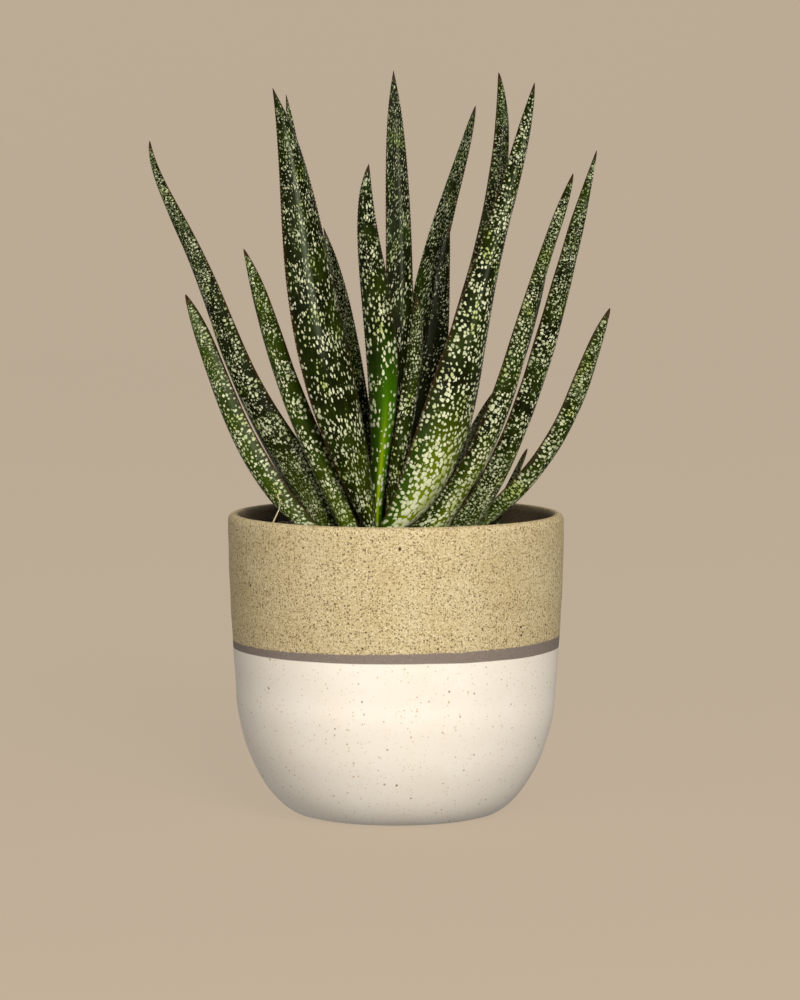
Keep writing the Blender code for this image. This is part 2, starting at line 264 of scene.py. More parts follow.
def add_node(tree, kind, inputs=(), **settings):
    """Add one node and return its first output in use, or the node if it has none.

    Settings are its properties. Inputs go by number or by name, and each is a value or an
    output of another node."""
    node = tree.nodes.new(kind)
    for name, value in settings.items():
        setattr(node, name, value)
    keyed = inputs if isinstance(inputs, dict) else dict(enumerate(inputs))
    for key, value in keyed.items():
        if isinstance(value, bpy.types.NodeSocket):
            tree.links.new(value, node.inputs[key])
        else:
            node.inputs[key].default_value = value
    return next((socket for socket in node.outputs if socket.enabled), node)


def rgba(colour):
    """A colour, given as sRGB hex or as linear numbers, with full opacity."""
    return (*(linear(colour) if isinstance(colour, str) else colour[:3]), 1.0)


def new_material(name):
    """An empty node material, and its tree."""
    material = bpy.data.materials.new(name)
    material.use_nodes = True
    material.node_tree.nodes.clear()
    return material, material.node_tree


def finish_material(tree, inputs, height, bump_distance, bump_strength):
    """Join a Principled shader with a bump from a height to the output."""
    normal = add_node(tree, "ShaderNodeBump", {
        "Height": height, "Distance": bump_distance, "Strength": bump_strength})
    shader = add_node(tree, "ShaderNodeBsdfPrincipled", {**inputs, "Normal": normal})
    add_node(tree, "ShaderNodeOutputMaterial", {"Surface": shader})


def smooth_mesh(name, vertices, faces, material, corner_data=None):
    """A shaded-smooth mesh object at the origin, from arrays of vertices and of faces of one size each."""
    mesh = bpy.data.meshes.new(name)
    sizes = np.concatenate([np.full(len(block), block.shape[1]) for block in faces])
    corners = np.concatenate([block.ravel() for block in faces])
    mesh.vertices.add(len(vertices))
    mesh.vertices.foreach_set("co", np.ascontiguousarray(vertices, dtype=np.float32).ravel())
    mesh.loops.add(len(corners))
    mesh.loops.foreach_set("vertex_index", corners.astype(np.int32))
    mesh.polygons.add(len(sizes))
    mesh.polygons.foreach_set("loop_start", np.concatenate(([0], np.cumsum(sizes)[:-1])).astype(np.int32))
    mesh.polygons.foreach_set("loop_total", sizes.astype(np.int32))
    mesh.update(calc_edges=True)
    mesh.shade_smooth()
    mesh.materials.append(material)
    for key, values in (corner_data or {}).items():
        layer = mesh.attributes.new(key, "FLOAT_VECTOR", "CORNER")
        layer.data.foreach_set("vector", np.ascontiguousarray(values, dtype=np.float32).ravel())
    piece = bpy.data.objects.new(name, mesh)
    bpy.context.scene.collection.objects.link(piece)
    return piece


def tube_faces(rings, around, flip):
    """Faces of a grid that closes round on itself, with a fan to a pole at each end.

    Vertices are numbered ring by ring, then the first pole and the last pole."""
    ring = np.arange(rings - 1)[:, None]
    here = np.arange(around)[None, :]
    following = (here + 1) % around
    low_here = ring * around + here
    low_next = ring * around + following
    quads = np.stack((low_here, low_next, low_next + around, low_here + around), axis=-1).reshape(-1, 4)
    first, last = rings * around, rings * around + 1
    top = (rings - 1) * around
    first_fan = np.stack((following[0], here[0], np.full(around, first)), axis=-1)
    last_fan = np.stack((top + here[0], top + following[0], np.full(around, last)), axis=-1)
    fans = np.concatenate((first_fan, last_fan))
    if flip:
        return [quads[:, ::-1], fans[:, ::-1]]
    return [quads, fans]


def own(piece, slot, *nodes):
    """Hide the solids that a finished piece replaces, and make it move with the root; the slot is not used."""
    if nodes:
        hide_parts(*nodes)
    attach(piece, "root")


def smooth_through(values, along):
    """Read the polynomial that passes through evenly spaced values."""
    places = np.linspace(0, 1, len(values))
    return np.polyval(np.polyfit(places, values, len(values) - 1), along)


def smooth_step(value, low, high):
    """Rise smoothly from 0 at low to 1 at high."""
    share = np.clip((value - low) / (high - low), 0, 1)
    return share ** 2 * (3 - 2 * share)


def crown_height(x, y):
    """The crown's low dome: it falls with the square of the distance from its middle."""
    reach = (x / CROWN_HALF_LENGTH) ** 2 + ((y - CROWN_MIDDLE_Y) / CROWN_HALF_DEPTH) ** 2
    return CROWN_TOP - CROWN_DROP * reach


def leaf_path(leaf, along):
    """Points along the middle of a leaf, from its seat on the crown to its tip."""
    x = smooth_through(leaf.x, along) * MM
    y = smooth_through(leaf.y, along) * MM
    root_x, root_y = leaf.x[0] * MM, leaf.y[0] * MM
    root = crown_height(root_x, root_y) + GAP
    return np.column_stack((x, y, root + (leaf.tip * MM - root) * along))


def leaf_section():
    """The cross-section as shares of half width and thickness, once round from the right margin.

    The outer face is a parabola-like arch over the width, up to the keel. The inner face
    drops steeply inside the blunt margin and rises to a shallow channel in the middle."""
    turn = np.linspace(0, 2 * math.pi, LEAF_AROUND, endpoint=False)
    across = np.cos(turn)
    spread = np.abs(across)
    outer = MARGIN_DEPTH + (KEEL_DEPTH - MARGIN_DEPTH) * (1 - spread ** KEEL_POWER)
    inner = SHOULDER_DEPTH + (CHANNEL_DEPTH - SHOULDER_DEPTH) * (1 - spread ** CHANNEL_POWER)
    inner += (MARGIN_DEPTH - SHOULDER_DEPTH) * spread ** MARGIN_POWER
    return across, np.where(turn <= math.pi + 1e-6, outer, inner)


def leaf_grid(leaf, settings):
    """Rings of points up one leaf, and how far along it and how wide each ring is.

    Each ring is the cross-section, set square to the path and turned to the leaf's side. Its
    width and thickness follow the leaf's taper, its faces wave slowly along it, and every few
    rings the margin stands out as a small tooth. Near the root the points slide along the path,
    so that the lowest ring lies level on the crown."""
    fine = np.linspace(0, 1, 2000)
    walked = np.concatenate(([0], np.cumsum(np.linalg.norm(np.diff(leaf_path(leaf, fine), axis=0), axis=1))))
    rings = int(walked[-1] / LEAF_RING_STEP)
    length = np.linspace(0, walked[-1] * 0.9985, rings)
    along = np.interp(length, walked, fine)
    path = leaf_path(leaf, along)
    tangent = np.gradient(path, along, axis=0)
    tangent /= np.linalg.norm(tangent, axis=1, keepdims=True)
    turn = math.radians(leaf.facing)
    facing = np.array((math.sin(turn), -math.cos(turn), 0.0))
    outward = facing - tangent * (tangent @ facing)[:, None]
    outward /= np.linalg.norm(outward, axis=1, keepdims=True)
    side = np.cross(tangent, outward)
    width = smooth_through(leaf.width, along) * (1 - along ** TIP_POWER)
    half_width = np.maximum(width * MM / 2, TIP_HALF_WIDTH * (1.02 - along))
    thick = leaf.thick * MM * np.sqrt(half_width / half_width.max())
    across, depth = leaf_section()
    seed = int(leaf.name[-2:])
    wave = np.sin(length / (9.0 * MM) + seed) + 0.6 * np.sin(length / (4.1 * MM) + 2 * seed)
    wave = wave[:, None] * np.sin(2.2 * across + 0.7 * seed)[None, :]
    wave *= settings.ripple * np.minimum(1, half_width / (3 * MM))[:, None]
    beat = (np.arange(rings) % TOOTH_RINGS == 0) * np.clip((1 - along) * 12, 0, 1)
    edge = np.where(np.abs(across) > 0.999, 1.0, np.where(np.abs(across) > 0.97, 0.5, 0.0))
    tooth = beat[:, None] * edge[None, :]
    reach = half_width[:, None] * across[None, :] + np.sign(across)[None, :] * tooth ** 2 * settings.tooth
    offset = reach[:, :, None] * side[:, None, :]
    offset += (thick[:, None] * depth[None, :] + wave)[:, :, None] * outward[:, None, :]
    level = 1 - smooth_step(np.linalg.norm(path - path[0], axis=1), 0, SEAT_LENGTH)
    slide = -offset[:, :, 2] / tangent[:, None, 2] * level[:, None]
    points = path[:, None, :] + offset + slide[:, :, None] * tangent[:, None, :]
    return points, along, length, half_width, across, tooth


def corner_values(table, around):
    """Each face's corner values, from a table with one more column than there are points round a ring."""
    low, high = table[:-1], table[1:]
    quads = np.stack((low[:, :-1], low[:, 1:], high[:, 1:], high[:, :-1]), axis=2)[:, :, ::-1]
    first = np.stack((table[0, 1:], table[0, :-1], table[0, :-1]), axis=1)[:, ::-1]
    last = np.stack((table[-1, :-1], table[-1, 1:], table[-1, :-1]), axis=1)[:, ::-1]
    width = table.shape[-1]
    return np.concatenate((quads.reshape(-1, width), first.reshape(-1, width), last.reshape(-1, width)))


def skin_nature(skin, along, across):
    """Over one leaf: how fresh the green is, how crowded the spots are, how far they merge, its green flush, partly
    painted glow.

    A young leaf flushes green in its lower half, right of its keel: partly its own green, partly a
    painted glow of light shining through it. A pale leaf's spots merge at its base, most in a band
    that starts at its keel and stops short of the right margin."""
    base = 1 - smooth_step(along, 0.02, 0.34)
    low = 1 - smooth_step(along, 0.28, 0.58)
    right = smooth_step(across, -0.30, 0.22)
    band = smooth_step(across + 0.6 * along, -0.70, -0.05) * (1 - smooth_step(across, 0.60, 0.95))
    pale = skin.pale * base * band
    # the flush is partly the leaf's own green, partly painted glow of light shining through it
    flush_and_glow = skin.young * (low * (0.30 + 0.70 * right) if skin.pale < 0.5 else base * (1 - 0.7 * right))
    crowd = skin.crowd - 0.30 * flush_and_glow * (skin.pale < 0.5) + 0.35 * pale
    return skin.fresh + 0.15 * base, crowd, pale, flush_and_glow


def build_leaf(leaf, material, settings):
    """One leaf as a closed tube of rings, seated on the crown.

    Its corners carry the spots' cells, the place on the skin in millimetres with the painted sheen
    streak, the form (tooth, dry tip, lime keel), the nature of the markings, and the spots' size,
    dullness and the green flush, which is partly a painted glow of light shining through the leaf."""
    points, along, length, half_width, across, tooth = leaf_grid(leaf, settings)
    rings, around = points.shape[:2]
    seat = points[0]
    seat[:, 2] = crown_height(seat[:, 0], seat[:, 1]) + GAP
    middle = seat.mean(axis=0)
    root = (middle[0], middle[1], crown_height(middle[0], middle[1]) + GAP)
    tip = leaf_path(leaf, np.array([0.0, 1.0]))[1]
    vertices = np.concatenate((points.reshape(-1, 3), [root, tip]))
    seed = int(leaf.name[-2:])
    skin = SKINS.get(leaf.name, PLAIN_SKIN)
    share = np.broadcast_to(np.concatenate((across, across[:1])), (rings, around + 1))
    inner = np.broadcast_to(np.arange(around + 1) > around // 2, share.shape)
    far = np.broadcast_to(along[:, None], share.shape)
    right = half_width[:, None] * share / MM + 47.0 * inner
    up = np.broadcast_to(length[:, None] / MM, share.shape)
    fresh, crowd, pale, flush_and_glow = skin_nature(skin, far, share)
    dry = smooth_step(up, length[-1] / MM - 6.0, length[-1] / MM - 1.5)
    keel = np.exp(-((share - 0.12 - 0.25 * far) / 0.20) ** 2) * (1 - smooth_step(far, 0.06, 0.40)) * ~inner
    margin = smooth_step(np.abs(share), 0.90, 0.985)
    # painted sheen: a grey highlight streak beside the middle, high on the leaf
    bloom = skin.bloom * np.exp(-((share + 0.22) / 0.10) ** 2) * smooth_step(far, 0.34, 0.56) * (1 - smooth_step(far, 0.85, 0.97))
    high = smooth_step(far, 0.35, 0.85)
    old = float(skin.pale < 0.5 and skin.young == 0)
    low = old * (1 - smooth_step(far, 0.06, 0.32))
    shrink = 1 - 0.28 * smooth_step(along, 0.35, 0.90) - 0.20 * low[:, 0]
    cells_up = np.cumsum(np.gradient(length) / MM / (skin.pitch * skin.stretch * shrink))
    layers = {
        "cells": (right / (skin.pitch * shrink[:, None]) + 61 * seed,
                  np.broadcast_to(cells_up[:, None], share.shape) + 83 * seed, 0 * far),
        "skin": (right + 113 * seed, up + 337 * seed, bloom),
        "form": (margin, dry, skin.young * (skin.pale < 0.5) * keel),
        "nature": (fresh, crowd, pale),
        "spots": (skin.swell - 0.05 * high, skin.dull + 0.30 * high + 0.28 * low, flush_and_glow),
    }
    data = {key: corner_values(np.stack(values, axis=-1), around) for key, values in layers.items()}
    piece = smooth_mesh(leaf.name + "_skin", vertices, tube_faces(rings, around, flip=True), material, data)
    own(piece, "leaf_flesh", leaf.name)
    return piece


def leaf_skin_material(settings):
    """Living gasteria skin: a waxy dark green cuticle with raised pale spots.

    The spots are cells of a Voronoi pattern, in cells as large as the leaf's own spots are
    apart. What the mesh carries says how fresh the green is, how crowded the spots are and how
    far they merge, and slow noise lets all of that drift over the leaf."""
    material, tree = new_material("gasteria_skin")
    node = partial(add_node, tree)
    cells, skin, form, nature, spots = (
        node("ShaderNodeAttribute", attribute_name=name).node.outputs["Vector"]
        for name in ("cells", "skin", "form", "nature", "spots"))
    margin, dry, keel = node("ShaderNodeSeparateXYZ", (form,)).node.outputs
    bloom = node("ShaderNodeSeparateXYZ", (skin,)).node.outputs["Z"]
    fresh, crowd, pale = node("ShaderNodeSeparateXYZ", (nature,)).node.outputs
    swell, dull, flush_and_glow = node("ShaderNodeSeparateXYZ", (spots,)).node.outputs

    # slow noise: clusters of spots some 8 mm apart, green patches some 12 mm apart, fine fibres
    cluster_place = node("ShaderNodeMapping", {"Vector": skin, "Scale": (0.17, 0.11, 1.0)})
    cluster = node("ShaderNodeTexNoise", {"Vector": cluster_place, "Scale": 1.0, "Detail": 2.0},
                   noise_dimensions="2D")
    patch_place = node("ShaderNodeMapping", {"Vector": skin, "Scale": (0.13, 0.07, 1.0), "Location": (7, 3, 0)})
    patch = node("ShaderNodeTexNoise", {"Vector": patch_place, "Scale": 1.0, "Detail": 2.0},
                 noise_dimensions="2D")
    fibre_place = node("ShaderNodeMapping", {"Vector": skin, "Scale": (2.4, 0.10, 1.0)})
    fibre = node("ShaderNodeTexNoise", {"Vector": fibre_place, "Scale": 1.0, "Detail": 3.0},
                 noise_dimensions="2D")

    # each spot: its cell, drawn by lot, pushed out of shape by fine noise
    waver = node("ShaderNodeTexNoise", {"Vector": cells, "Scale": 1.7, "Detail": 1.0},
                 noise_dimensions="2D").node.outputs["Color"]
    bent = node("ShaderNodeVectorMath", (waver, (0.45, 0.45, 0.0), cells), operation="MULTIPLY_ADD")
    distance = node("ShaderNodeTexVoronoi", {"Vector": bent, "Scale": 1.0, "Randomness": 0.85},
                    voronoi_dimensions="2D")
    chance, girth, tint = node("ShaderNodeSeparateXYZ", (distance.node.outputs["Color"],)).node.outputs
    lean = node("ShaderNodeMath", (cluster, -0.5), operation="ADD")
    crowded = node("ShaderNodeMath", (lean, 1.9, crowd), operation="MULTIPLY_ADD")
    shown = node("ShaderNodeMath", (chance, crowded), operation="LESS_THAN")
    radius = node("ShaderNodeMath", (girth, 0.16, swell), operation="MULTIPLY_ADD")
    radius = node("ShaderNodeMath", (lean, 0.30, radius), operation="MULTIPLY_ADD")
    radius = node("ShaderNodeMath", (pale, 0.30, radius), operation="MULTIPLY_ADD")
    radius = node("ShaderNodeMath", (radius, -0.08), operation="ADD")
    radius = node("ShaderNodeMath", (radius, shown), operation="MULTIPLY")
    inside = node("ShaderNodeMath", (radius, distance), operation="SUBTRACT")
    spot = node("ShaderNodeMapRange", {"Value": inside, "From Min": -0.06, "From Max": 0.07},
                interpolation_type="SMOOTHSTEP")

    # dots half as large between them
    small = node("ShaderNodeTexVoronoi", {"Vector": bent, "Scale": 1.9, "Randomness": 1.0},
                 voronoi_dimensions="2D")
    small_chance = node("ShaderNodeSeparateXYZ", (small.node.outputs["Color"],)).node.outputs["X"]
    sown = node("ShaderNodeMath", (lean, 1.4, dull), operation="MULTIPLY_ADD")
    sown = node("ShaderNodeMath", (small_chance, sown), operation="LESS_THAN")
    dot = node("ShaderNodeMapRange", {"Value": small, "From Min": 0.36, "From Max": 0.20},
               interpolation_type="SMOOTHSTEP")
    dot = node("ShaderNodeMath", (dot, sown), operation="MULTIPLY")
    dot = node("ShaderNodeMath", (dot, 0.62), operation="MULTIPLY")
    spot = node("ShaderNodeMath", (spot, dot), operation="MAXIMUM")
    bare = node("ShaderNodeMath", (margin, -0.85, 1.0), operation="MULTIPLY_ADD")
    spot = node("ShaderNodeMath", (spot, bare), operation="MULTIPLY")

    # the tissue between them, from dark to fresh green, with a young leaf's green flush and lime keel, partly painted
    # glow of light shining through the leaf
    drift = node("ShaderNodeMath", (patch, -0.5), operation="ADD")
    green = node("ShaderNodeMath", (drift, 0.75, fresh), operation="MULTIPLY_ADD")
    strand = node("ShaderNodeMath", (fibre, -0.5), operation="ADD")
    green = node("ShaderNodeMath", (strand, 0.40, green), operation="MULTIPLY_ADD", use_clamp=True)
    tissue = node("ShaderNodeMix", {"Factor": green, "A": rgba(settings.dark), "B": rgba(settings.fresh)},
                  data_type="RGBA")
    # the green flush, partly a painted glow of light shining through the leaf
    tissue = node("ShaderNodeMix", {"Factor": flush_and_glow, "A": tissue, "B": rgba(settings.young)}, data_type="RGBA")
    # the lime keel, partly a painted glow of light shining through the leaf
    ripe = node("ShaderNodeMath", (pale, 0.5, keel), operation="MULTIPLY_ADD", use_clamp=True)
    tissue = node("ShaderNodeMix", {"Factor": ripe, "A": tissue, "B": rgba(settings.lime)}, data_type="RGBA")

    # the spots, from bright to dull, duller where the tissue is fresh
    grey = node("ShaderNodeMath", (tint, 0.55, dull), operation="MULTIPLY_ADD")
    grey = node("ShaderNodeMath", (drift, 1.1, grey), operation="MULTIPLY_ADD")
    grey = node("ShaderNodeMath", (grey, -0.27), operation="ADD", use_clamp=True)
    chalk = node("ShaderNodeMix", {
        "Factor": grey, "A": rgba(settings.spot), "B": rgba(settings.dull_spot)}, data_type="RGBA")
    blush_place = node("ShaderNodeMapping", {"Vector": skin, "Scale": (0.16, 0.08, 1.0), "Location": (31, 17, 0)})
    blush = node("ShaderNodeTexNoise", {"Vector": blush_place, "Scale": 1.0, "Detail": 1.0},
                 noise_dimensions="2D")
    blush = node("ShaderNodeMath", (blush, 5.0, -2.9), operation="MULTIPLY_ADD")
    warmth = node("ShaderNodeMath", (green, 0.9, blush), operation="MULTIPLY_ADD", use_clamp=True)
    warmth = node("ShaderNodeMath", (warmth, 0.75), operation="MULTIPLY")
    chalk = node("ShaderNodeMix", {
        "Factor": warmth, "A": chalk, "B": rgba(settings.warm_spot)}, data_type="RGBA")
    # painted sheen: the grey highlight streak laid over the tissue
    tissue = node("ShaderNodeMix", {"Factor": bloom, "A": tissue, "B": rgba(settings.bloom)}, data_type="RGBA")
    # darker brown over the outer margins
    tissue = node("ShaderNodeMix", {"Factor": margin, "A": tissue, "B": rgba(settings.margin)}, data_type="RGBA")
    cover = node("ShaderNodeMath", (spot, 0.96), operation="MULTIPLY")
    marked = node("ShaderNodeMix", {"Factor": cover, "A": tissue, "B": chalk}, data_type="RGBA")
    colour = node("ShaderNodeMix", {"Factor": dry, "A": marked, "B": rgba(settings.tip)}, data_type="RGBA")
    height = node("ShaderNodeMath", (strand, 0.30, spot), operation="MULTIPLY_ADD")
    roughness = node("ShaderNodeMath", (spot, 0.16, 0.32), operation="MULTIPLY_ADD")
    finish_material(tree, {"Base Color": colour, "Roughness": roughness, "Specular IOR Level": 0.08}, height, 0.10 * MM, 0.8)
    return material


def turned(profile, around, ripple=0.0):
    """Carry a profile of (radius, height) once round the axis, slightly out of true by slow waves."""
    turn = np.linspace(0, 2 * math.pi, around, endpoint=False)
    radius, height = np.array(profile).T
    rise = height[:, None] / MM
    wave = np.sin(2 * turn + 0.4 + 0.02 * rise) + 0.6 * np.sin(3 * turn - 0.05 * rise)
    wave = wave + 0.5 * np.sin(0.35 * rise + turn)
    share = np.clip(radius[:, None] / (20 * MM), 0, 1)
    reach = radius[:, None] + ripple * wave * share * (rise > 1.5)
    return np.stack((reach * np.cos(turn), reach * np.sin(turn), height[:, None] + 0 * turn), axis=-1)


def bowl_profile(inset, steps):
    """The pot's outline from its foot to its shoulder: a superellipse, set in by the wall."""
    base = FLOOR if inset else 0.0
    foot = FOOT_RADIUS - inset
    rise = SHOULDER_HEIGHT - base
    reach = SHOULDER_RADIUS - inset - foot
    drop = np.linspace(1, 0, steps) ** 0.8
    radius = foot + reach * (1 - drop ** BOWL_POWER) ** (1 / BOWL_POWER)
    return np.column_stack((radius, base + rise * (1 - drop)))


def wall_radius(height, inset=0.0):
    """The radius above the shoulder, where the wall widens a little and ends upright."""
    share = (height - SHOULDER_HEIGHT) / (POT_HEIGHT - SHOULDER_HEIGHT)
    return SHOULDER_RADIUS + (POT_RADIUS - SHOULDER_RADIUS) * np.sin(share * math.pi / 2) - inset


def wall_profile(top, inset, steps):
    """The outline from the shoulder up to a height."""
    heights = np.linspace(SHOULDER_HEIGHT, top, steps + 1)[1:]
    return np.column_stack((wall_radius(heights, inset), heights))


def build_pot(material, settings):
    """The pot turned from one profile: foot, bowl, wall, rounded lip, and the inside back to the floor."""
    lip = WALL / 2
    lip_height = POT_HEIGHT - lip
    arc = np.linspace(0, math.pi, 17)[1:-1]
    middle = wall_radius(lip_height) - lip
    foot = np.column_stack((np.linspace(4 * MM, FOOT_RADIUS, 8)[:-1], np.zeros(7)))
    over = np.column_stack((middle + lip * np.cos(arc), lip_height + lip * np.sin(arc)))
    outside = np.concatenate((foot, bowl_profile(0.0, 40), wall_profile(lip_height, 0.0, 60)))
    inside = np.concatenate((bowl_profile(WALL, 16), wall_profile(lip_height, WALL, 20)))[::-1]
    profile = np.concatenate((outside, over, inside))
    grid = turned(profile, POT_AROUND, settings.throwing)
    grid[:, :, 2] = np.clip(grid[:, :, 2], 0.0, POT_HEIGHT)
    flat = np.clip(1 / np.maximum(1e-9, np.linalg.norm(grid[:, :, :2], axis=2)) * POT_RADIUS, 0, 1)
    grid[:, :, :2] *= flat[:, :, None]
    vertices = np.concatenate((grid.reshape(-1, 3), [(0, 0, 0), (0, 0, FLOOR)]))
    piece = smooth_mesh("stoneware_pot", vertices, tube_faces(len(profile), POT_AROUND, flip=False), material)
    own(piece, "glazed_stoneware", "pot")
    return piece


def speckled(tree, place, ground, grains):
    """Lay specks on a ground colour: each layer draws round specks in a share of its cells."""
    node = partial(add_node, tree)
    for cell, share, size, softness, colour, strength in grains:
        distance = node("ShaderNodeTexVoronoi", {"Vector": place, "Scale": 1 / (cell * MM), "Randomness": 1.0})
        chance, girth, _ = node("ShaderNodeSeparateXYZ", (distance.node.outputs["Color"],)).node.outputs
        chosen = node("ShaderNodeMath", (chance, share), operation="LESS_THAN")
        radius = node("ShaderNodeMath", (girth, 0.6 * size, 0.5 * size), operation="MULTIPLY_ADD")
        inside = node("ShaderNodeMath", (radius, distance), operation="SUBTRACT")
        speck = node("ShaderNodeMapRange", {"Value": inside, "From Min": -softness, "From Max": softness},
                     interpolation_type="SMOOTHSTEP")
        cover = node("ShaderNodeMath", (speck, chosen), operation="MULTIPLY")
        cover = node("ShaderNodeMath", (cover, strength), operation="MULTIPLY")
        ground = node("ShaderNodeMix", {"Factor": cover, "A": ground, "B": rgba(colour)}, data_type="RGBA")
    return ground


def stoneware_material(settings):
    """Speckled stoneware: a dry sandy glaze above, a bare dark band, and a satin cream glaze below.

    Iron in the clay bleeds through as brown specks, crowded in the thin sandy glaze and sparse
    in the thick cream one. The band widens towards +X, because the pot was dipped by hand. A
    painted highlight makes a paler line over the lip, and painted shade darkens the wall above the soil."""
    material, tree = new_material("speckled_stoneware")
    node = partial(add_node, tree)
    place = node("ShaderNodeTexCoord").node.outputs["Object"]
    sideways, _, height = node("ShaderNodeSeparateXYZ", (place,)).node.outputs
    flat = node("ShaderNodeVectorMath", (place, (1, 1, 0)), operation="MULTIPLY")
    axis_distance = node("ShaderNodeVectorMath", (flat,), operation="LENGTH").node.outputs["Value"]
    slow = node("ShaderNodeTexNoise", {"Vector": place, "Scale": 26.0, "Detail": 2.0})
    quick = node("ShaderNodeTexNoise", {"Vector": place, "Scale": 700.0, "Detail": 2.0})
    cloud = node("ShaderNodeTexNoise", {"Vector": place, "Scale": 45.0, "Detail": 4.0})
    dust = node("ShaderNodeTexNoise", {"Vector": place, "Scale": 1500.0, "Detail": 2.0, "Roughness": 0.7})

    # the band's two edges, each with a slow waver and the upper one a little ragged
    waver = node("ShaderNodeMath", (slow, 1.0 * MM, settings.band_height - 0.5 * MM), operation="MULTIPLY_ADD")
    over_lower = node("ShaderNodeMath", (height, waver), operation="SUBTRACT")
    above_lower = node("ShaderNodeMapRange", {"Value": over_lower, "From Min": -0.2 * MM, "From Max": 0.2 * MM},
                       interpolation_type="SMOOTHSTEP")
    width = node("ShaderNodeMath", (sideways, 0.015, settings.band_width), operation="MULTIPLY_ADD")
    ragged = node("ShaderNodeMath", (quick, 1.3 * MM, width), operation="MULTIPLY_ADD")
    over_upper = node("ShaderNodeMath", (over_lower, ragged), operation="SUBTRACT")
    above_upper = node("ShaderNodeMapRange", {"Value": over_upper, "From Min": -0.75 * MM, "From Max": -0.15 * MM},
                       interpolation_type="SMOOTHSTEP")

    # the three surfaces
    drift = node("ShaderNodeMath", (cloud, 1.4, -0.45), operation="MULTIPLY_ADD", use_clamp=True)
    sand = node("ShaderNodeMix", {"Factor": drift, "A": rgba(settings.sand), "B": rgba("#BFA976")},
                data_type="RGBA")
    sand = speckled(tree, place, sand, SAND_GRAINS)
    band = speckled(tree, place, rgba(settings.band), BAND_GRAINS)
    cream = node("ShaderNodeMix", {"Factor": drift, "A": rgba(settings.cream), "B": rgba("#F4EADB")},
                 data_type="RGBA")
    cream = speckled(tree, place, cream, CREAM_GRAINS)
    colour = node("ShaderNodeMix", {"Factor": above_lower, "A": cream, "B": band}, data_type="RGBA")
    colour = node("ShaderNodeMix", {"Factor": above_upper, "A": colour, "B": sand}, data_type="RGBA")

    # a painted highlight along the lip, and painted shade on the wall inside it
    # painted highlight: a paler line along the top of the lip
    lip = node("ShaderNodeMapRange", {
        "Value": height, "From Min": POT_HEIGHT - 1.6 * MM, "From Max": POT_HEIGHT - 0.2 * MM,
        "To Max": 0.10}, interpolation_type="SMOOTHSTEP")
    colour = node("ShaderNodeMix", {"Factor": lip, "A": colour, "B": rgba("#E2CBA6")}, data_type="RGBA")
    high = node("ShaderNodeMath", (height, 0.8 * POT_HEIGHT), operation="GREATER_THAN")
    # painted shade: darkens the inner wall above the soil, where shade falls inside the rim
    inner_shade = node("ShaderNodeMapRange", {
        "Value": axis_distance, "From Min": POT_RADIUS - 0.42 * WALL, "From Max": POT_RADIUS - 0.90 * WALL,
        "To Max": 0.88}, interpolation_type="SMOOTHSTEP")
    inner_shade = node("ShaderNodeMath", (inner_shade, high), operation="MULTIPLY")
    colour = node("ShaderNodeMix", {"Factor": inner_shade, "A": colour, "B": rgba(settings.inner_shade_colour)}, data_type="RGBA")
    dryness = node("ShaderNodeMath", (above_lower, 0.30, 0.38), operation="MULTIPLY_ADD")
    relief = node("ShaderNodeMath", (above_lower, 0.85, 0.15), operation="MULTIPLY_ADD")
    grain = node("ShaderNodeMath", (dust, relief), operation="MULTIPLY")
    finish_material(tree, {"Base Color": colour, "Roughness": dryness, "IOR": 1.5}, grain, 0.12 * MM, 0.7)
    return material


def rough_field(x, y, seed, longest, shortest, count=48):
    """Uneven ground: many plane waves of random direction, each as high as it is long."""
    draw = np.random.default_rng(seed)
    length = np.exp(draw.uniform(math.log(shortest), math.log(longest), count))
    way = draw.uniform(0, 2 * math.pi, count)
    start = draw.uniform(0, 2 * math.pi, count)
    total = np.zeros_like(x)
    weight = length / length.sum()
    phase = (x[..., None] * np.cos(way) + y[..., None] * np.sin(way)) * (2 * math.pi / length) + start
    total = (np.sin(phase) * weight).sum(axis=-1)
    return total * math.sqrt(count)


def soil_height(x, y, settings):
    """The soil's level at a point: a slight fall towards +X and its crumbly relief."""
    return settings.level - settings.fall * x / POT_RADIUS + settings.relief * rough_field(x, y, 7, 14 * MM, 1.6 * MM)


def oval(scale, height, around, grow=0.0):
    """An oval about the crown's axis."""
    turn = np.linspace(0, 2 * math.pi, around, endpoint=False)
    x = (CROWN_HALF_LENGTH * scale + grow) * np.cos(turn)
    y = CROWN_MIDDLE_Y + (CROWN_HALF_DEPTH * scale + grow) * np.sin(turn)
    return np.stack((x, y, 0 * turn + height), axis=-1)


